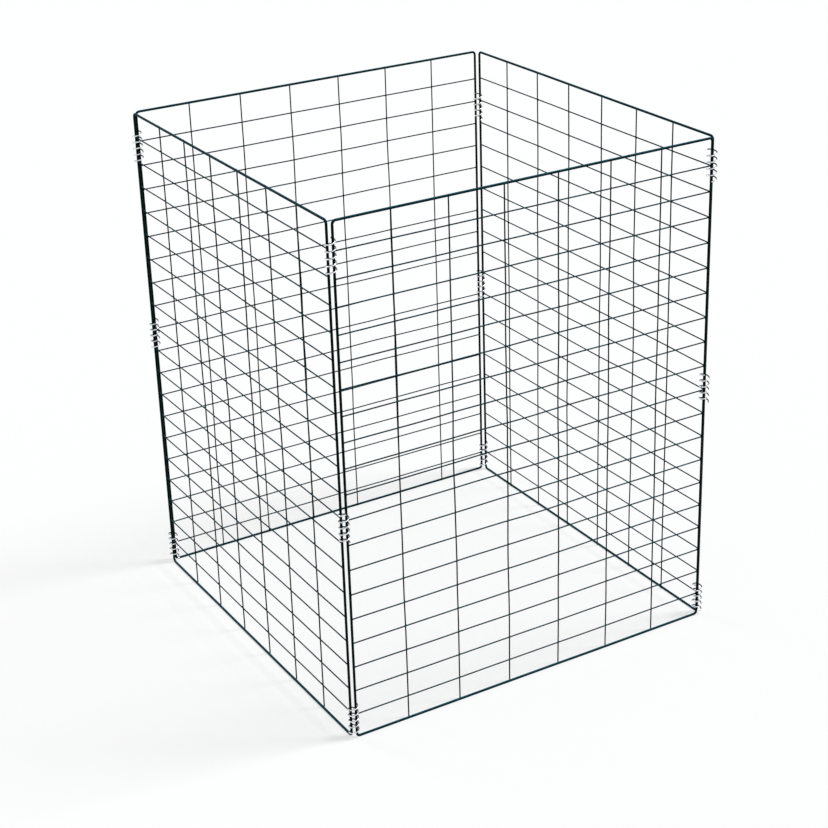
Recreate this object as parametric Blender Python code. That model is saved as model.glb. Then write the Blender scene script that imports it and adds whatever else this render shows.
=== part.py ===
"""Wire compost bin: four welded wire panels joined at the corners by short wire spirals.

Metres, +Z up. The bin stands on z = 0, centred on the Z axis, and its front panel faces -Y.
"""

import math

import bmesh
import bpy
from mathutils import Matrix, Vector

# Panel
PANEL_WIDTH = 0.760  # over the outer faces of the two uprights
PANEL_HEIGHT = 0.960  # from the ground to the top of the top rail
FRAME_WIRE = 0.0046  # diameter of the wire bent round the edge
MESH_WIRE = 0.0025  # diameter of the cross and upright wires
BEND_RADIUS = 0.0065  # of the frame wire's axis at its corners
ROWS = 20
COLUMNS = 7
WELD_INSET = 0.0002  # how far a cross wire's inner side stands back from the frame's
SEAT_GAP = 0.0003  # between an upright wire and the rails that it lies on
FOOT_FLAT = 0.0005  # worn off the underside of the bottom rail

# Corners
UPRIGHT_SETBACK = 0.0069  # from an upright's axis to the neighbouring panel's plane
COIL_WIRE = 0.0025
COIL_TURNS = 4.8
COIL_TURNS_PER_ROW = 4  # whole, so that every cross wire meets the coils alike
COIL_CLEARANCE = 0.0003  # between a coil and the uprights that it holds
COIL_LEVELS = {  # middle of the top and the middle coil, in rows below the top rail
    "front_left": (1.25, 11.35),
    "front_right": (1.05, 10.0),
    "back_right": (2.4, 10.7),
    "back_left": (1.35, 9.35),
}

# Faceting
FRAME_SIDES = 2  # bevel resolution: 8 sides
WIRE_SIDES = 2
COIL_SIDES = 1  # 6 sides
BEND_STEPS = 5
COIL_STEPS = 10  # points in one turn

# Derived
FRAME_RADIUS = FRAME_WIRE / 2
MESH_RADIUS = MESH_WIRE / 2
COIL_WIRE_RADIUS = COIL_WIRE / 2
TOP_AXIS = PANEL_HEIGHT - FRAME_RADIUS
BOTTOM_AXIS = FRAME_RADIUS - FOOT_FLAT
ROW_PITCH = (TOP_AXIS - BOTTOM_AXIS) / ROWS
AXIS_WIDTH = PANEL_WIDTH - FRAME_WIRE  # between the two uprights' axes
COLUMN_PITCH = AXIS_WIDTH / COLUMNS
SQUARE_SIDE = AXIS_WIDTH + 2 * UPRIGHT_SETBACK  # between opposite panels' planes
CROSS_WIRE_DEPTH = FRAME_RADIUS - MESH_RADIUS - WELD_INSET
UPRIGHT_WIRE_DEPTH = FRAME_RADIUS + SEAT_GAP + MESH_RADIUS
COIL_PITCH = ROW_PITCH / COIL_TURNS_PER_ROW
COIL_RADIUS = UPRIGHT_SETBACK / math.sqrt(2) + FRAME_RADIUS + COIL_CLEARANCE + COIL_WIRE_RADIUS
COIL_LENGTH = COIL_TURNS * COIL_PITCH
# Each panel's cross wires lie a little lower than those of the panel to its left, seen from
# outside, so that both panels' wires pass between the same strands at all four corners.
ROW_STAGGER = COIL_PITCH / 4

# Panels in order round the bin: name, quarter turns from the front, steps of stagger
PANELS = (("front", 0, 1), ("right", 1, 2), ("back", 2, 3), ("left", 3, 0))
CORNERS = ("front_left", "front_right", "back_right", "back_left")  # where each panel starts


def clear_scene():
    for obj in list(bpy.data.objects):
        bpy.data.objects.remove(obj, do_unlink=True)
    for collection in list(bpy.data.collections):
        bpy.data.collections.remove(collection)


def new_collection(name):
    collection = bpy.data.collections.new(name)
    bpy.context.scene.collection.children.link(collection)
    return collection


def new_material(name, color, roughness, metallic):
    material = bpy.data.materials.new(name)
    material.use_nodes = True
    shader = material.node_tree.nodes["Principled BSDF"]
    shader.inputs["Base Color"].default_value = (*color, 1.0)
    shader.inputs["Roughness"].default_value = roughness
    shader.inputs["Metallic"].default_value = metallic
    material.diffuse_color = (*color, 1.0)
    return material


def wire_curve(name, runs, radius, sides, closed=False):
    """A curve object with one round wire along each run of points."""
    curve = bpy.data.curves.new(name, "CURVE")
    curve.dimensions = "3D"
    curve.bevel_depth = radius
    curve.bevel_resolution = sides
    curve.use_fill_caps = not closed
    for run in runs:
        spline = curve.splines.new("POLY")
        spline.points.add(len(run) - 1)
        for point, place in zip(spline.points, run):
            point.co = (*place, 1.0)
        spline.use_cyclic_u = closed
        spline.use_smooth = True
    return bpy.data.objects.new(name, curve)


def as_mesh(obj, collection):
    """Replaces a wire's curve object with a mesh object whose caps are joined to its sides."""
    name = obj.name
    bpy.context.scene.collection.objects.link(obj)
    graph = bpy.context.evaluated_depsgraph_get()
    mesh = bpy.data.meshes.new_from_object(obj.evaluated_get(graph))
    bpy.data.objects.remove(obj, do_unlink=True)
    work = bmesh.new()
    work.from_mesh(mesh)
    bmesh.ops.remove_doubles(work, verts=work.verts, dist=0.00001)
    bmesh.ops.recalc_face_normals(work, faces=work.faces)
    work.to_mesh(mesh)
    work.free()
    mesh.name = name
    solid = bpy.data.objects.new(name, mesh)
    collection.objects.link(solid)
    return solid


def as_cutter(obj):
    obj.hide_render = True
    obj.display_type = "WIRE"
    return obj


def add_boolean(obj, name, operation, other):
    modifier = obj.modifiers.new(name, "BOOLEAN")
    modifier.operation = operation
    modifier.solver = "EXACT"
    modifier.object = other


def set_in_place(obj, quarter_turns, carrier):
    """Puts a piece drawn in the front panel's own frame on its side of the bin."""
    turn = Matrix.Rotation(quarter_turns * math.pi / 2, 4, "Z")
    corner = turn @ Vector((-SQUARE_SIDE / 2, -SQUARE_SIDE / 2, 0.0))
    obj.parent = carrier
    obj.rotation_euler = (0.0, 0.0, quarter_turns * math.pi / 2)
    obj.location = corner - carrier.location


def frame_outline():
    """The frame wire's axis: a rectangle with rounded corners, in the panel's plane."""
    left, right = UPRIGHT_SETBACK, UPRIGHT_SETBACK + AXIS_WIDTH
    centres = (
        (right - BEND_RADIUS, BOTTOM_AXIS + BEND_RADIUS, -90),
        (right - BEND_RADIUS, TOP_AXIS - BEND_RADIUS, 0),
        (left + BEND_RADIUS, TOP_AXIS - BEND_RADIUS, 90),
        (left + BEND_RADIUS, BOTTOM_AXIS + BEND_RADIUS, 180),
    )
    points = []
    for x, z, start in centres:
        for step in range(BEND_STEPS + 1):
            angle = math.radians(start + 90 * step / BEND_STEPS)
            points.append((x + BEND_RADIUS * math.cos(angle), 0.0, z + BEND_RADIUS * math.sin(angle)))
    return points


def row_height(row, stagger_steps):
    """Height of a cross wire's axis, counted in rows down from the top rail."""
    return TOP_AXIS - row * ROW_PITCH - stagger_steps * ROW_STAGGER


def make_frame(panel, quarter_turns, stagger_steps, carrier, parts, cutters, paint):
    """The frame wire with its cross wires welded in, flat where it stands on the ground."""
    frame = as_mesh(wire_curve(f"{panel}_frame", [frame_outline()], FRAME_RADIUS, FRAME_SIDES, True), parts)
    ends = (UPRIGHT_SETBACK, UPRIGHT_SETBACK + AXIS_WIDTH)
    runs = []
    for row in range(1, ROWS):
        height = row_height(row, stagger_steps)
        runs.append([(x, CROSS_WIRE_DEPTH, height) for x in ends])
    wires = wire_curve(f"{panel}_cross_wires", runs, MESH_RADIUS, WIRE_SIDES)
    cross_wires = as_cutter(as_mesh(wires, cutters))
    bpy.ops.mesh.primitive_cube_add(size=1.0)
    ground = as_cutter(bpy.context.object)
    ground.name = f"{panel}_ground"
    for collection in list(ground.users_collection):
        collection.objects.unlink(ground)
    cutters.objects.link(ground)
    depth = 4 * FRAME_WIRE
    sizes = Matrix.Diagonal((PANEL_WIDTH + 2 * UPRIGHT_SETBACK, depth, depth, 1.0))
    ground.data.transform(Matrix.Translation((SQUARE_SIDE / 2, 0.0, -depth / 2)) @ sizes)
    for obj in (frame, cross_wires, ground):
        set_in_place(obj, quarter_turns, carrier)
    add_boolean(frame, "welded cross wires", "UNION", cross_wires)
    add_boolean(frame, "flat foot", "DIFFERENCE", ground)
    frame.data.materials.append(paint)
    frame.data.shade_smooth()
    frame.data.set_sharp_from_angle(angle=math.radians(60))
    return frame


def make_upright_wires(panel, quarter_turns, carrier, parts, paint):
    """The thin wires that run from rail to rail, on the panel's inner side."""
    for column in range(1, COLUMNS):
        x = UPRIGHT_SETBACK + column * COLUMN_PITCH
        run = [(x, UPRIGHT_WIRE_DEPTH, BOTTOM_AXIS), (x, UPRIGHT_WIRE_DEPTH, TOP_AXIS)]
        wire = wire_curve(f"{panel}_upright_wire_{column}", [run], MESH_RADIUS, WIRE_SIDES)
        parts.objects.link(wire)
        wire.data.materials.append(paint)
        set_in_place(wire, quarter_turns, carrier)


def coil_points(bottom, stagger_steps):
    """A right-handed coil about the corner's axis, in that corner's own frame.

    Its strands lie as far as they can from the cross wires of both panels, which pass
    through it at wire_angle below one panel's line and above the other's.
    """
    wire_angle = math.asin((UPRIGHT_SETBACK / 2 - CROSS_WIRE_DEPTH) / COIL_RADIUS)
    rise_between = COIL_PITCH * (math.pi / 2 + 2 * wire_angle) / (2 * math.pi)
    off_middle = (rise_between - ROW_STAGGER) / 2
    strand_at_zero = (
        row_height(1, stagger_steps)
        + COIL_PITCH * wire_angle / (2 * math.pi)
        - COIL_PITCH / 2
        - off_middle
    )
    # The straight runs between points would cut inside the true circle, so it goes round it.
    radius = COIL_RADIUS / math.cos(math.pi / COIL_STEPS)
    points = []
    for step in range(round(COIL_TURNS * COIL_STEPS) + 1):
        height = bottom + step * COIL_PITCH / COIL_STEPS
        angle = 2 * math.pi * (height - strand_at_zero) / COIL_PITCH
        points.append((radius * math.cos(angle), radius * math.sin(angle), height))
    return points


def least_gap(points):
    """Between the strands of a coil, measured on its points half a turn or more apart."""
    apart = COIL_STEPS // 2
    nearest = min(
        math.dist(first, second)
        for index, first in enumerate(points)
        for second in points[index + apart :]
    )
    return nearest - COIL_WIRE


def make_coils(corner, quarter_turns, stagger_steps, carrier, parts, steel):
    top, middle = COIL_LEVELS[corner]
    bottoms = {
        "top": TOP_AXIS - top * ROW_PITCH - COIL_LENGTH / 2,
        "middle": TOP_AXIS - middle * ROW_PITCH - COIL_LENGTH / 2,
        "bottom": BOTTOM_AXIS + BEND_RADIUS,
    }
    for level, bottom in bottoms.items():
        points = coil_points(bottom, stagger_steps)
        name = f"{corner}_spiral_{level}"
        print(f"{name}: least gap between strands {1000 * least_gap(points):.2f} mm")
        coil = wire_curve(name, [points], COIL_WIRE_RADIUS, COIL_SIDES)
        parts.objects.link(coil)
        coil.data.materials.append(steel)
        coil.parent = carrier
        coil.rotation_euler = (0.0, 0.0, quarter_turns * math.pi / 2)


def corner_axis(index):
    """Where the axis of a corner's coils meets the ground, midway between its two uprights."""
    turn = Matrix.Rotation(index * math.pi / 2, 4, "Z")
    offset = -SQUARE_SIDE / 2 + UPRIGHT_SETBACK / 2
    return turn @ Vector((offset, offset, 0.0))


def new_carrier(name, place, parts):
    carrier = bpy.data.objects.new(name, None)
    carrier.empty_display_size = 0.05
    carrier.location = place
    parts.objects.link(carrier)
    return carrier


def main():
    clear_scene()
    parts = new_collection("compost_bin")
    cutters = new_collection("cutters")
    paint = new_material("green powder coat", (0.012, 0.075, 0.045), 0.38, 0.0)
    steel = new_material("galvanised wire", (0.62, 0.63, 0.64), 0.32, 1.0)
    # The front panel stays put; the others each turn about a corner's axis.
    hinges = {"front": 0, "left": 0, "right": 1, "back": 3}
    for panel, quarter_turns, stagger_steps in PANELS:
        carrier = new_carrier(f"{panel}_panel_axis", corner_axis(hinges[panel]), parts)
        make_frame(panel, quarter_turns, stagger_steps, carrier, parts, cutters, paint)
        make_upright_wires(panel, quarter_turns, carrier, parts, paint)
    for index, corner in enumerate(CORNERS):
        carrier = new_carrier(f"{corner}_spiral_axis", corner_axis(index), parts)
        make_coils(corner, index, PANELS[index][2], carrier, parts, steel)
    bpy.context.view_layer.update()


main()
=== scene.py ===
import math

import bpy
from mathutils import Matrix, Vector


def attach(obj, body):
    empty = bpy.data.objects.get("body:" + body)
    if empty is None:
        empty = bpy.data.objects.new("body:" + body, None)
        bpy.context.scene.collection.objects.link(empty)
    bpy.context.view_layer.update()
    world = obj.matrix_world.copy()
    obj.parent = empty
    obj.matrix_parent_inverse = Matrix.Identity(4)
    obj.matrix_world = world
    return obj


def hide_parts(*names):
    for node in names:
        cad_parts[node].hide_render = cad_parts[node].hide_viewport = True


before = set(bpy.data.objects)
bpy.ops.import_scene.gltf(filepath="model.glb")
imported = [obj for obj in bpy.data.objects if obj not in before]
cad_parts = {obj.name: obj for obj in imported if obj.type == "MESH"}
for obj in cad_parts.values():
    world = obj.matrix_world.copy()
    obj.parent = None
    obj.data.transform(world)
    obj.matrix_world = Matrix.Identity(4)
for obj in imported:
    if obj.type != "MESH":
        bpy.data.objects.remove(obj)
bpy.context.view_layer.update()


# Node trees

class Socket:  # an output of a node; arithmetic on it adds the nodes for the sum
    def __init__(self, tree, output):
        self.tree = tree
        self.output = output

    def other(self, name):  # another output of the same node
        return Socket(self.tree, self.output.node.outputs[name])

    def sum(self, operation, first, second):
        found = [s.output.type for s in (first, second) if isinstance(s, Socket)]
        kind = "ShaderNodeVectorMath" if "VECTOR" in found else "ShaderNodeMath"
        return self.tree.add(kind, {"operation": operation}, {0: first, 1: second})

    def __add__(self, other):
        return self.sum("ADD", self, other)

    def __radd__(self, other):
        return self.sum("ADD", other, self)

    def __sub__(self, other):
        return self.sum("SUBTRACT", self, other)

    def __rsub__(self, other):
        return self.sum("SUBTRACT", other, self)

    def __mul__(self, other):
        return self.sum("MULTIPLY", self, other)

    def __rmul__(self, other):
        return self.sum("MULTIPLY", other, self)

    def __truediv__(self, other):
        return self.sum("DIVIDE", self, other)

    def __rtruediv__(self, other):
        return self.sum("DIVIDE", other, self)


class Tree:  # a node tree, and the one way that a node gets into it
    def __init__(self, nodeTree):
        self.nodeTree = nodeTree
        self.nodes = nodeTree.nodes
        self.links = nodeTree.links

    def add(self, kind, settings=None, inputs=None, output=0):
        node = self.nodes.new(kind)
        for name, value in (settings or {}).items():
            setattr(node, name, value)
        for name, value in (inputs or {}).items():
            self.feed(node.inputs[name], value)
        return Socket(self, node.outputs[output]) if node.outputs else node

    def feed(self, socket, value):
        # every item of a list is linked; a number or colour is widened to what the socket holds
        for one in value if isinstance(value, list) else [value]:
            if isinstance(one, Socket):
                self.links.new(one.output, socket)
            elif socket.type == "VECTOR" and isinstance(one, (int, float)):
                socket.default_value = (one, one, one)
            elif socket.type == "RGBA" and len(one) == 3:
                socket.default_value = (*one, 1.0)
            else:
                socket.default_value = one


def newForm(name, sizes):
    # a Geometry Nodes tree whose named inputs are the sizes
    made = bpy.data.node_groups.new(name, "GeometryNodeTree")
    made.interface.new_socket("Geometry", in_out="OUTPUT", socket_type="NodeSocketGeometry")
    for size, value in sizes.items():
        socket = made.interface.new_socket(size, in_out="INPUT", socket_type="NodeSocketFloat")
        socket.default_value = value
    tree = Tree(made)
    entry = tree.add("NodeGroupInput")
    return tree, {size: entry.other(size) for size in sizes}


def endForm(tree, geometry, finish):
    # every form ends in Realize Instances and Set Material
    whole = tree.add("GeometryNodeRealizeInstances", None, {"Geometry": geometry})
    whole = tree.add("GeometryNodeSetShadeSmooth", None, {"Geometry": whole})
    whole = tree.add("GeometryNodeSetMaterial", None, {"Geometry": whole, "Material": finish})
    tree.add("NodeGroupOutput", None, {"Geometry": whole})
    return tree.nodeTree


def makePiece(name, form, sizes, place):
    # runs the form, its own sizes standing where none are given, and puts the plain mesh in place
    piece = bpy.data.objects.new(name, bpy.data.meshes.new(name))
    bpy.context.scene.collection.objects.link(piece)
    modifier = piece.modifiers.new("form", "NODES")
    modifier.node_group = form
    for item in form.interface.items_tree:
        if item.in_out == "INPUT":
            modifier[item.identifier] = sizes.get(item.name, item.default_value)
    bpy.context.view_layer.update()
    graph = bpy.context.evaluated_depsgraph_get()
    mesh = bpy.data.meshes.new_from_object(piece.evaluated_get(graph))
    piece.modifiers.clear()
    piece.data = mesh
    mesh.name = name
    mesh.transform(place)
    return piece


# Camera

cameraView = {
    "place": (-1.6860, -2.8758, 1.9187),
    "azimuth": -30.16,
    "elevation": 23.52,  # degrees that it looks down
    "roll": -1.83,
    "focalPixels": 1900.0,
    "shiftPixels": -41.4,  # the photograph's frame is lower than the lens axis
    "imageSize": 828,
    "sensorWidth": 36.0,
}


def makeCamera(view):
    azimuth, elevation, roll = (math.radians(view[k]) for k in ("azimuth", "elevation", "roll"))
    ahead = Vector((
        -math.sin(azimuth) * math.cos(elevation),
        math.cos(azimuth) * math.cos(elevation),
        -math.sin(elevation),
    ))
    level = ahead.cross(Vector((0, 0, 1))).normalized()
    upright = level.cross(ahead)
    right = math.cos(roll) * level + math.sin(roll) * upright
    up = math.cos(roll) * upright - math.sin(roll) * level
    lens = bpy.data.cameras.new("camera")
    lens.sensor_width = view["sensorWidth"]
    lens.lens = view["focalPixels"] / view["imageSize"] * lens.sensor_width
    lens.shift_y = view["shiftPixels"] / view["imageSize"]
    camera = bpy.data.objects.new("camera", lens)
    turned = Matrix((right, up, -ahead)).transposed().to_4x4()
    camera.matrix_world = Matrix.Translation(view["place"]) @ turned
    bpy.context.scene.collection.objects.link(camera)
    bpy.context.scene.camera = camera


makeCamera(cameraView)
print("camera set")


# Finishes

powderCoat = {
    "deep": (0.0010, 0.0050, 0.0024),
    "light": (0.0020, 0.0110, 0.0052),
    "mottleScale": 45.0,
    "mottleRange": (0.35, 0.68),  # of the noise, from the deep green to the light one
    "paintedSkyReflection": (0.0016, 0.0320, 0.0600),  # painted reflection of the open sky, on faces that look up
    "paintedReflectionRange": (0.02, 0.45),  # how far a face looks up where that begins and is complete
    # painted highlight along the very tops of the wires
    "paintedTopHighlight": (0.0040, 0.0600, 0.0880),
    "paintedHighlightRange": (0.40, 0.95),
    "patchiness": 0.25,  # how much the mottling thins those two
    "roughness": (0.24, 0.34),
    "roughnessScale": 135.0,
    "roughnessRange": (0.3, 0.7),
    "glossTint": (0.6, 3.4, 3.9),
    "gloss": 0.014,  # low, so that edges don't whiten
    "peelScale": 900.0,  # orange peel, about a millimetre across
    "peelDetail": 2.0,
    "peelDepth": 0.00004,
    "peelStrength": 0.5,
}

galvanising = {
    "bright": (0.92, 0.93, 0.95),
    # dark colour of the random dull patches and drawing lines, and of the painted shade inside the
    # coil
    "dullAndShade": (0.075, 0.095, 0.145),
    "roughness": (0.18, 0.34),
    "patchScale": 130.0,
    "patchDetail": 4.0,
    "patchRange": (0.38, 0.66),
    "patchShare": 0.45,  # of the dull colour
    "drawScale": 1500.0,  # of the fine lines that drawing leaves along the wire
    "drawDetail": 2.0,
    "drawRange": (0.3, 0.7),
    "drawShare": 0.25,
    "drawStretch": 0.04,
    "drawDepth": 0.00003,
    "drawStrength": 0.5,
    "innerShade": 0.85,  # painted shade: the coil's inner side, which faces the uprights, is painted towards the dark colour
    "innerShadeRange": (-0.85, 0.35),  # the coil's outer side is -1 and its inner side is 1
}


def newFinish(name):
    finish = bpy.data.materials.new(name)
    finish.use_nodes = True
    finish.node_tree.nodes.clear()
    return finish, Tree(finish.node_tree)


def endFinish(tree, shader):
    tree.add("ShaderNodeOutputMaterial", None, {"Surface": shader})


def noise(tree, place, scale, detail=3.0, roughness=0.55):
    inputs = {"Vector": place, "Scale": scale, "Detail": detail, "Roughness": roughness}
    return tree.add("ShaderNodeTexNoise", None, inputs)


def blendColours(tree, share, first, second):
    # a Mix node takes its colours at the inputs 6 and 7, and gives one at the output 2
    mix = {"Factor": share, 6: first, 7: second}
    return tree.add("ShaderNodeMix", {"data_type": "RGBA"}, mix, 2)


def fromTo(tree, value, low, high, first=0.0, second=1.0):
    # carries value from low..high to first..second, and no further
    inputs = {"Value": value, "From Min": low, "From Max": high, "To Min": first, "To Max": second}
    return tree.add("ShaderNodeMapRange", {"clamp": True}, inputs)


def relief(tree, height, strength, depth):
    inputs = {"Strength": strength, "Distance": depth, "Height": height}
    return tree.add("ShaderNodeBump", None, inputs)


def makePowderCoat(settings):
    finish, tree = newFinish("green powder coat")
    place = tree.add("ShaderNodeTexCoord", None, None, "Object")
    mottle = fromTo(tree, noise(tree, place, settings["mottleScale"]), *settings["mottleRange"])
    colour = blendColours(tree, mottle, settings["deep"], settings["light"])
    upward = tree.add("ShaderNodeSeparateXYZ", None, {"Vector": place.other("Normal")}, "Z")
    patchy = 1 - settings["patchiness"] + settings["patchiness"] * mottle
    # faces that look up are painted bluer and lighter: a painted sky reflection and a painted
    # highlight
    for tone, reach in (("paintedSkyReflection", "paintedReflectionRange"), ("paintedTopHighlight", "paintedHighlightRange")):
        share = fromTo(tree, upward, *settings[reach]) * patchy
        colour = blendColours(tree, share, colour, settings[tone])
    uneven = noise(tree, place, settings["roughnessScale"])
    peel = noise(tree, place, settings["peelScale"], settings["peelDetail"])
    shader = tree.add("ShaderNodeBsdfPrincipled", None, {
        "Base Color": colour,
        "Roughness": fromTo(tree, uneven, *settings["roughnessRange"], *settings["roughness"]),
        "Specular IOR Level": settings["gloss"],
        "Specular Tint": settings["glossTint"],
        "Normal": relief(tree, peel, settings["peelStrength"], settings["peelDepth"]),
    })
    endFinish(tree, shader)
    return finish


def makeGalvanising(settings):
    finish, tree = newFinish("galvanised wire")
    place = tree.add("ShaderNodeTexCoord", None, None, "Object")
    along, around, inside = (
        tree.add("ShaderNodeAttribute", {"attribute_name": name}, None, output)
        for name, output in (("along", "Fac"), ("around", "Vector"), ("inside", "Fac"))
    )
    patches = noise(tree, place, settings["patchScale"], settings["patchDetail"])
    patches = fromTo(tree, patches, *settings["patchRange"])
    lay = around + tree.add("ShaderNodeCombineXYZ", None, {"Z": along * settings["drawStretch"]})
    draw = noise(tree, lay, settings["drawScale"], settings["drawDetail"])
    draw = fromTo(tree, draw, *settings["drawRange"])
    # painted shade on the coil's inner side
    innerShade = fromTo(tree, inside, *settings["innerShadeRange"], 0.0, settings["innerShade"])
    dullnessAndShade = settings["patchShare"] * patches + settings["drawShare"] * draw + innerShade
    shader = tree.add("ShaderNodeBsdfPrincipled", None, {
        "Base Color": blendColours(tree, dullnessAndShade, settings["bright"], settings["dullAndShade"]),
        "Roughness": fromTo(tree, patches + draw, 0.0, 2.0, *settings["roughness"]),
        "Metallic": 1.0,
        "Normal": relief(tree, draw, settings["drawStrength"], settings["drawDepth"]),
    })
    endFinish(tree, shader)
    return finish


greenCoat = makePowderCoat(powderCoat)
zincCoat = makeGalvanising(galvanising)
print("finishes made")


# Panels

panelSizes = {
    "width": 0.760,  # over the two uprights
    "height": 0.960,
    "frameWire": 0.0046,
    "meshWire": 0.0025,
    "bendRadius": 0.0065,
    "rows": 20,
    "columns": 7,
    "setback": 0.0069,  # from an upright's axis to the neighbouring panel's plane
    "footFlat": 0.0005,  # worn off the bottom rail's underside
    "crossDepth": 0.0009,  # of the cross wires' axes behind the frame's
    "uprightDepth": 0.0034,
    "bendSteps": 12,
    "straightCuts": 35,
    "frameSides": 20,
    "meshSides": 12,
    "crossPoints": 57,
    "uprightPoints": 81,
}

# how far hands and welding have bent the wires from true in each direction of the panel, how
# quickly that changes along the panel and up it, and what share of it is left at the rails
sway = {
    "X": {"most": 0.0028, "waves": (37.0, 5.0), "seedStep": 9, "atRails": 0.0},  # thin uprights
    "Y": {"most": 0.0034, "waves": (3.1, 2.7), "seedStep": 5, "atRails": 0.35},  # all the wires
    "Z": {"most": 0.0022, "waves": (5.0, 61.0), "seedStep": 0, "atRails": 0.0},  # cross wires
}
swayGain = 3.0  # takes the noise, less its middle, to about -1 to 1

frameRadius = panelSizes["frameWire"] / 2
meshRadius = panelSizes["meshWire"] / 2
topAxis = panelSizes["height"] - frameRadius
bottomAxis = frameRadius - panelSizes["footFlat"]
axisHeight = topAxis - bottomAxis
axisWidth = panelSizes["width"] - panelSizes["frameWire"]
rowPitch = axisHeight / panelSizes["rows"]
columnPitch = axisWidth / panelSizes["columns"]
squareSide = axisWidth + 2 * panelSizes["setback"]
spiralPitch = rowPitch / 4
rowStagger = spiralPitch / 4
standUp = (math.pi / 2, 0.0, 0.0)  # turns a flat form into the panel's plane

# name, quarter turns from the front, steps of stagger, fixed seed of its bends
panels = [("front", 0, 1, 11), ("right", 1, 2, 23), ("back", 2, 3, 37), ("left", 3, 0, 49)]


def quarterTurn(quarterTurns):
    return Matrix.Rotation(quarterTurns * math.pi / 2, 4, "Z")


def panelPlace(quarterTurns):
    # from a panel's own frame, with its outer corner at the origin, to the bin's
    turn = quarterTurn(quarterTurns)
    corner = turn @ Vector((-squareSide / 2, -squareSide / 2, 0.0))
    return Matrix.Translation(corner) @ turn


def firstRow(staggerSteps):
    # height of a panel's top cross wire, a little lower on each panel going round
    return topAxis - rowPitch - staggerSteps * rowStagger


def arch(share):
    # 0 at both ends and 1 in the middle
    return 4 * share * (1 - share)


def swayOffset(tree, sizes, directions):
    # a smooth bend in these directions, which fades out at the frame's uprights
    place = tree.add("GeometryNodeInputPosition")
    x = tree.add("ShaderNodeSeparateXYZ", None, {"Vector": place})
    z = x.other("Z")
    midWidth = arch((x - panelSizes["setback"]) / axisWidth)
    midHeight = arch((z - bottomAxis) / axisHeight)
    parts = {}
    for direction in directions:
        bend = sway[direction]
        xWaves, zWaves = bend["waves"]
        point = tree.add("ShaderNodeCombineXYZ", None, {"X": x * xWaves, "Y": z * zWaves})
        wave = tree.add("ShaderNodeTexNoise", {"noise_dimensions": "4D"}, {
            "Vector": point, "W": sizes["Seed"] + bend["seedStep"], "Scale": 1.0, "Detail": 1.0,
        })
        fade = bend["atRails"] + (1 - bend["atRails"]) * midHeight
        parts[direction] = (wave - 0.5) * swayGain * bend["most"] * midWidth * fade
    return tree.add("ShaderNodeCombineXYZ", None, parts)


def sweep(tree, path, radius, sides):
    # a round wire; its places along and around the wire are kept for the finish
    ring = tree.add("GeometryNodeCurvePrimitiveCircle", None, {
        "Resolution": sides, "Radius": radius,
    })
    along = tree.add("GeometryNodeSplineParameter", None, None, "Length")
    around = tree.add("GeometryNodeInputPosition")
    path = tree.add("GeometryNodeStoreNamedAttribute", {"data_type": "FLOAT"}, {
        "Geometry": path, "Name": "along", "Value": along,
    })
    ring = tree.add("GeometryNodeStoreNamedAttribute", {"data_type": "FLOAT_VECTOR"}, {
        "Geometry": ring, "Name": "around", "Value": around,
    })
    return tree.add("GeometryNodeCurveToMesh", None, {
        "Curve": path, "Profile Curve": ring, "Fill Caps": True,
    })


def move(tree, geometry, offset):
    return tree.add("GeometryNodeSetPosition", None, {"Geometry": geometry, "Offset": offset})


def wearFlat(tree, geometry):
    # nothing of the bin reaches below the ground
    place = tree.add("GeometryNodeInputPosition")
    apart = tree.add("ShaderNodeSeparateXYZ", None, {"Vector": place})
    height = tree.add("ShaderNodeMath", {"operation": "MAXIMUM"}, {0: apart.other("Z"), 1: 0.0})
    lifted = tree.add("ShaderNodeCombineXYZ", None, {
        "X": apart, "Y": apart.other("Y"), "Z": height,
    })
    return tree.add("GeometryNodeSetPosition", None, {"Geometry": geometry, "Position": lifted})


def frameForm():
    tree, sizes = newForm("bent frame wire", {
        "Bend Radius": panelSizes["bendRadius"], "Wire Radius": frameRadius, "Seed": 0.0,
    })
    bendSteps = panelSizes["bendSteps"]
    ring = tree.add("GeometryNodeCurvePrimitiveQuadrilateral", None, {
        "Width": axisWidth, "Height": axisHeight,
    })
    ring = tree.add("GeometryNodeFilletCurve", {"mode": "POLY"}, {
        "Curve": ring, "Count": bendSteps, "Radius": sizes["Bend Radius"], "Limit Radius": True,
    })
    # each bend ends at a point from which a straight runs, and only straights are cut further
    index = tree.add("GeometryNodeInputIndex")
    step = tree.add("ShaderNodeMath", {"operation": "MODULO"}, {0: index, 1: bendSteps + 1})
    straight = tree.add("ShaderNodeMath", {"operation": "COMPARE"}, {0: step, 1: bendSteps, 2: 0.5})
    ring = tree.add("GeometryNodeSubdivideCurve", None, {
        "Curve": ring, "Cuts": straight * panelSizes["straightCuts"],
    })
    middle = (panelSizes["setback"] + axisWidth / 2, 0.0, bottomAxis + axisHeight / 2)
    ring = tree.add("GeometryNodeTransform", None, {
        "Geometry": ring, "Translation": middle, "Rotation": standUp,
    })
    ring = move(tree, ring, swayOffset(tree, sizes, "Y"))
    wire = sweep(tree, ring, sizes["Wire Radius"], panelSizes["frameSides"])
    return endForm(tree, wearFlat(tree, wire), greenCoat)


def meshWires(tree, sizes, ends, points, row, directions):
    # a row of copies of one straight wire, which has points enough to bend between its ends
    start, end = ends
    count, first, step = row
    line = tree.add("GeometryNodeCurvePrimitiveLine", None, {"Start": start, "End": end})
    line = tree.add("GeometryNodeResampleCurve", {"mode": "COUNT"}, {
        "Curve": line, "Count": points,
    })
    places = tree.add("GeometryNodeMeshLine", {"mode": "OFFSET"}, {
        "Count": count, "Start Location": first, "Offset": step,
    })
    copies = tree.add("GeometryNodeInstanceOnPoints", None, {"Points": places, "Instance": line})
    copies = tree.add("GeometryNodeRealizeInstances", None, {"Geometry": copies})
    copies = move(tree, copies, swayOffset(tree, sizes, directions))
    return sweep(tree, copies, sizes["Wire Radius"], panelSizes["meshSides"])


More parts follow.
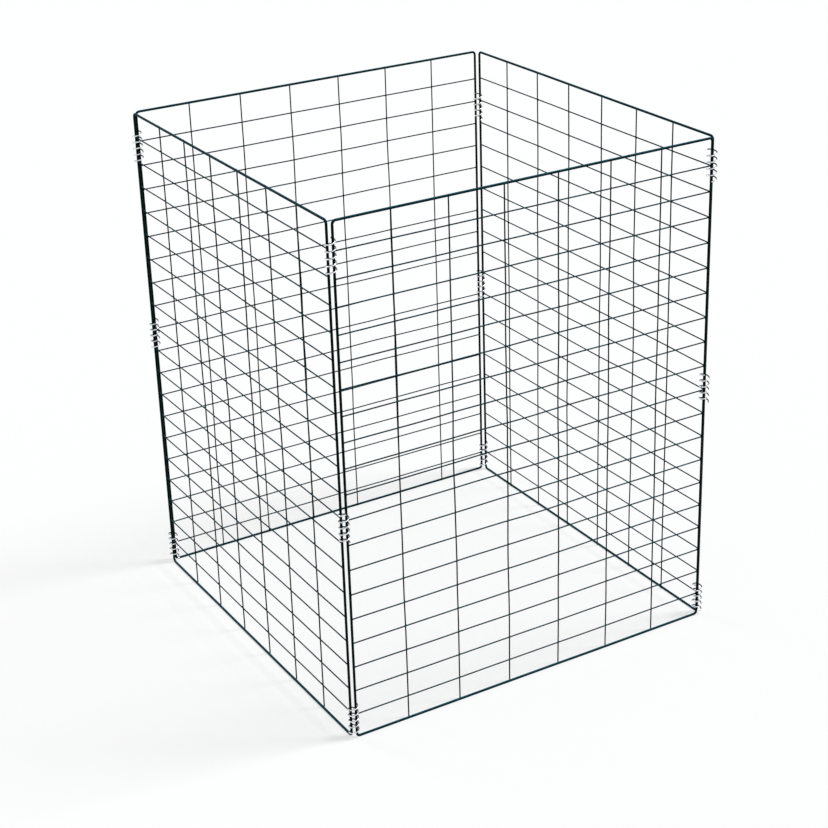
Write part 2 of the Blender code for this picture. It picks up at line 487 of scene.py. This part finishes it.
def crossForm():
    tree, sizes = newForm("cross wires", {
        "Wire Radius": meshRadius, "First Height": topAxis - rowPitch, "Seed": 0.0,
    })
    left, depth = panelSizes["setback"], panelSizes["crossDepth"]
    ends = ((left, depth, 0), (left + axisWidth, depth, 0))
    first = tree.add("ShaderNodeCombineXYZ", None, {"Z": sizes["First Height"]})
    row = (panelSizes["rows"] - 1, first, (0, 0, -rowPitch))
    wires = meshWires(tree, sizes, ends, panelSizes["crossPoints"], row, "YZ")
    return endForm(tree, wires, greenCoat)


def uprightForm():
    tree, sizes = newForm("upright wires", {"Wire Radius": meshRadius, "Seed": 0.0})
    depth = panelSizes["uprightDepth"]
    ends = ((0, depth, bottomAxis), (0, depth, topAxis))
    first = (panelSizes["setback"] + columnPitch, 0, 0)
    row = (panelSizes["columns"] - 1, first, (columnPitch, 0, 0))
    wires = meshWires(tree, sizes, ends, panelSizes["uprightPoints"], row, "XY")
    return endForm(tree, wires, greenCoat)


weldSizes = {
    "radius": 0.00185,
    "segments": 8,
    "rings": 6,
    # least and most, as shares of the radius along the panel, through it and up it
    "crossingShape": ((0.86, 0.90, 0.86), (1.14, 1.06, 1.14)),
    "railShape": ((1.15, 0.84, 0.70), (1.50, 0.94, 0.85)),  # run out along the rail
    "railDepth": 0.62,  # as a share of the thin uprights' depth
    "seed": 4,
}


def weldForm():
    tree, sizes = newForm("welds", {
        "Weld Radius": weldSizes["radius"], "First Height": topAxis - rowPitch, "Seed": 0.0,
    })
    rows, columns = panelSizes["rows"] - 1, panelSizes["columns"] - 1
    centre = panelSizes["setback"] + axisWidth / 2
    rowSpan, columnSpan = (rows - 1) * rowPitch, (columns - 1) * columnPitch
    rowMiddle = sizes["First Height"] - rowSpan / 2
    crossDepth, uprightDepth = panelSizes["crossDepth"], panelSizes["uprightDepth"]
    bead = tree.add("GeometryNodeMeshUVSphere", None, {
        "Radius": 1.0, "Segments": weldSizes["segments"], "Rings": weldSizes["rings"],
    })
    offset = swayOffset(tree, sizes, "XYZ")

    def weldGrid(across, up, width, height, depth, middle):
        # points in the panel's plane, where wires are welded
        grid = tree.add("GeometryNodeMeshGrid", None, {
            "Size X": width, "Size Y": height, "Vertices X": across, "Vertices Y": up,
        })
        place = tree.add("ShaderNodeCombineXYZ", None, {"X": centre, "Y": depth, "Z": middle})
        return tree.add("GeometryNodeTransform", None, {
            "Geometry": grid, "Translation": place, "Rotation": standUp,
        })

    def beadsOn(points, shape):
        least, most = shape
        scale = tree.add("FunctionNodeRandomValue", {"data_type": "FLOAT_VECTOR"}, {
            0: least, 1: most, "Seed": weldSizes["seed"],
        })
        return tree.add("GeometryNodeInstanceOnPoints", None, {
            "Points": move(tree, points, offset), "Instance": bead,
            "Scale": scale * sizes["Weld Radius"],
        })

    middleDepth = (crossDepth + uprightDepth) / 2
    railDepth = uprightDepth * weldSizes["railDepth"]
    openWidth = axisWidth - 2 * frameRadius
    crossings = weldGrid(columns, rows, columnSpan, rowSpan, middleDepth, rowMiddle)
    ends = weldGrid(2, rows, openWidth, rowSpan, crossDepth, rowMiddle)
    rails = weldGrid(columns, 2, columnSpan, axisHeight, railDepth, bottomAxis + axisHeight / 2)
    inPlane = tree.add("GeometryNodeJoinGeometry", None, {"Geometry": [crossings, ends]})
    beads = tree.add("GeometryNodeJoinGeometry", None, {"Geometry": [
        beadsOn(inPlane, weldSizes["crossingShape"]),
        beadsOn(rails, weldSizes["railShape"]),
    ]})
    beads = tree.add("GeometryNodeRealizeInstances", None, {"Geometry": beads})
    return endForm(tree, wearFlat(tree, beads), greenCoat)


def dress(piece, body, nodes):
    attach(piece, body)
    if nodes:
        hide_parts(*nodes)


def makePanels():
    thinUprights = [f"upright_wire_{column}" for column in range(1, panelSizes["columns"])]
    kinds = [  # piece, its form and the nodes of the frame that it stands for
        ("frame_wire", frameForm(), ["frame"]),
        ("cross_wires", crossForm(), ["frame"]),
        ("upright_wires", uprightForm(), thinUprights),
        ("welds", weldForm(), []),
    ]
    for panel, quarterTurns, staggerSteps, seed in panels:
        place = panelPlace(quarterTurns)
        sizes = {"First Height": firstRow(staggerSteps), "Seed": float(seed)}
        for kind, form, nodes in kinds:
            piece = makePiece(f"{panel}_{kind}", form, sizes, place)
            stoodFor = [f"{panel}_{node}" for node in nodes]
            dress(piece, f"{panel}_panel", stoodFor)
        print(panel, "panel made")


makePanels()


# Spirals

spiralSizes = {
    "wire": 0.0025,
    "turns": 4.8,
    "clearance": 0.0003,  # between the coil and the two uprights inside it
    "pointsPerTurn": 48,
    "sides": 14,
    "unevenness": 0.00018,
    "unevennessScale": 90.0,
    "endTaper": 0.72,  # the wire's cut ends, as a share of its thickness
    "levels": {  # middle of the top and the middle spiral, in rows below the top rail
        "front_left": (1.25, 11.35),
        "front_right": (1.05, 10.0),
        "back_right": (2.4, 10.7),
        "back_left": (1.35, 9.35),
    },
}

spiralWireRadius = spiralSizes["wire"] / 2
spiralRadius = (
    panelSizes["setback"] / math.sqrt(2) + frameRadius
    + spiralSizes["clearance"] + spiralWireRadius
)
spiralLength = spiralSizes["turns"] * spiralPitch


def spiralForm():
    tree, sizes = newForm("spiral", {
        "Radius": spiralRadius, "Length": spiralLength, "Turns": spiralSizes["turns"],
        "Wire Radius": spiralWireRadius, "Seed": 0.0,
    })
    coil = tree.add("GeometryNodeCurveSpiral", None, {
        "Resolution": spiralSizes["pointsPerTurn"], "Rotations": sizes["Turns"],
        "Start Radius": sizes["Radius"], "End Radius": sizes["Radius"],
        "Height": sizes["Length"], "Reverse": True,  # right-handed
    })
    place = tree.add("GeometryNodeInputPosition")
    wobble = tree.add("ShaderNodeTexNoise", {"noise_dimensions": "4D"}, {
        "Vector": place, "W": sizes["Seed"], "Scale": spiralSizes["unevennessScale"],
        "Detail": 1.0,
    }, "Color")
    offset = tree.add("ShaderNodeVectorMath", {"operation": "SUBTRACT"}, {0: wobble, 1: 0.5})
    coil = move(tree, coil, offset * spiralSizes["unevenness"])
    ends = tree.add("GeometryNodeCurveEndpointSelection", None, {"Start Size": 1, "End Size": 1})
    coil = tree.add("GeometryNodeSetCurveRadius", None, {
        "Curve": coil, "Selection": ends, "Radius": spiralSizes["endTaper"],
    })
    wire = sweep(tree, coil, sizes["Wire Radius"], spiralSizes["sides"])
    level = tree.add("ShaderNodeVectorMath", {"operation": "MULTIPLY"}, {0: place, 1: (1, 1, 0)})
    reach = tree.add("ShaderNodeVectorMath", {"operation": "LENGTH"}, {0: level}, "Value")
    inside = (sizes["Radius"] - reach) / sizes["Wire Radius"]  # 1 on the inner side, -1 outside
    wire = tree.add("GeometryNodeStoreNamedAttribute", {"data_type": "FLOAT"}, {
        "Geometry": wire, "Name": "inside", "Value": inside,
    })
    return endForm(tree, wire, zincCoat)


def makeSpirals():
    form = spiralForm()
    risePerRadian = spiralPitch / (2 * math.pi)
    # a cross wire meets the coil this far off its own panel's direction
    wireAngle = math.asin((panelSizes["setback"] / 2 - panelSizes["crossDepth"]) / spiralRadius)
    # the strand's rise from one panel's cross wires to the other's isn't quite their stagger,
    # and half of the difference goes to each
    offMiddle = (risePerRadian * (math.pi / 2 + 2 * wireAngle) - rowStagger) / 2
    axis = -squareSide / 2 + panelSizes["setback"] / 2  # x and y of the front left corner's coils
    corners = zip(spiralSizes["levels"].items(), panels)  # each at its panel's first upright
    for (corner, (top, middle)), (_, quarterTurns, staggerSteps, seed) in corners:
        # the strand's height at angle 0, first as if this panel's cross wires alone passed halfway
        # between two turns
        halfway = firstRow(staggerSteps) + risePerRadian * wireAngle - spiralPitch / 2
        strandAtZero = halfway - offMiddle
        bottoms = {
            "top": topAxis - top * rowPitch - spiralLength / 2,
            "middle": topAxis - middle * rowPitch - spiralLength / 2,
            "bottom": bottomAxis + panelSizes["bendRadius"],
        }
        for step, (level, bottom) in enumerate(bottoms.items()):
            startAngle = (bottom - strandAtZero) / risePerRadian
            place = (
                quarterTurn(quarterTurns)
                @ Matrix.Translation((axis, axis, bottom))
                @ Matrix.Rotation(startAngle, 4, "Z")
            )
            name = f"{corner}_spiral_wire_{level}"
            spiral = makePiece(name, form, {"Seed": float(seed + step)}, place)
            dress(spiral, f"{corner}_spirals", [f"{corner}_spiral_{level}"])
    print("spirals made")


makeSpirals()


# Floor and light

studio = {
    "floorReach": 60.0,
    "floorColour": (0.97, 0.97, 0.97),
    "floorGlow": 0.6,  # the share of plain white in what the camera sees of the floor
    "floorBounce": 0.35,  # how pale the floor is to the light that it throws back
    "worldColour": (0.98, 0.99, 1.0),
    "worldStrength": 0.30,
    "lamps": {  # direction that the light comes from, its strength, width in degrees and colour
        "over": ((0.55, -0.20, 0.81), 2.4, 16.0, (0.98, 0.99, 1.0)),
        "rear": ((-0.35, 0.79, 0.50), 0.45, 16.0, (0.98, 0.99, 1.0)),
        "front": ((-0.5, -0.8, 0.6), 0.25, 30.0, (1.0, 1.0, 1.0)),
    },
}
white = (1.0, 1.0, 1.0)


def seenShare(tree):
    # 1 for what is seen directly, mirrored or through glass, and 0 for the light on things
    path = tree.add("ShaderNodeLightPath", None, None, "Is Camera Ray")
    seen = path + path.other("Is Glossy Ray") + path.other("Is Transmission Ray")
    return tree.add("ShaderNodeMath", {"operation": "MINIMUM"}, {0: seen, 1: 1.0})


def blendShaders(tree, share, first, second):
    return tree.add("ShaderNodeMixShader", None, {0: share, 1: first, 2: second})


def makeFloor(settings):
    reach = settings["floorReach"]
    mesh = bpy.data.meshes.new("floor")
    corners = [(-reach, -reach, 0), (reach, -reach, 0), (reach, reach, 0), (-reach, reach, 0)]
    mesh.from_pydata(corners, [], [(0, 1, 2, 3)])
    floor = bpy.data.objects.new("floor", mesh)
    bpy.context.scene.collection.objects.link(floor)
    finish, tree = newFinish("floor paper")
    paper = tree.add("ShaderNodeBsdfDiffuse", None, {"Color": settings["floorColour"]})
    glow = tree.add("ShaderNodeEmission", None, {"Color": white, "Strength": 1.0})
    bounce = tree.add("ShaderNodeBsdfDiffuse", None, {"Color": (settings["floorBounce"],) * 3})
    shown = blendShaders(tree, settings["floorGlow"], paper, glow)
    endFinish(tree, blendShaders(tree, seenShare(tree), bounce, shown))
    mesh.materials.append(finish)


def makeLight(settings):
    world = bpy.data.worlds.new("studio")
    bpy.context.scene.world = world
    world.use_nodes = True
    world.node_tree.nodes.clear()
    tree = Tree(world.node_tree)
    soft = tree.add("ShaderNodeBackground", None, {
        "Color": settings["worldColour"], "Strength": settings["worldStrength"],
    })
    plain = tree.add("ShaderNodeBackground", None, {"Color": white, "Strength": 1.0})
    tree.add("ShaderNodeOutputWorld", None, {
        "Surface": blendShaders(tree, seenShare(tree), soft, plain),
    })
    for name, (source, strength, width, colour) in settings["lamps"].items():
        lamp = bpy.data.lights.new(name, "SUN")
        lamp.energy = strength
        lamp.angle = math.radians(width)
        lamp.color = colour
        holder = bpy.data.objects.new(name, lamp)
        holder.rotation_euler = Vector(source).to_track_quat("Z", "Y").to_euler()
        bpy.context.scene.collection.objects.link(holder)
    bpy.context.scene.view_settings.view_transform = "Standard"


makeFloor(studio)
makeLight(studio)
print("floor and light made")
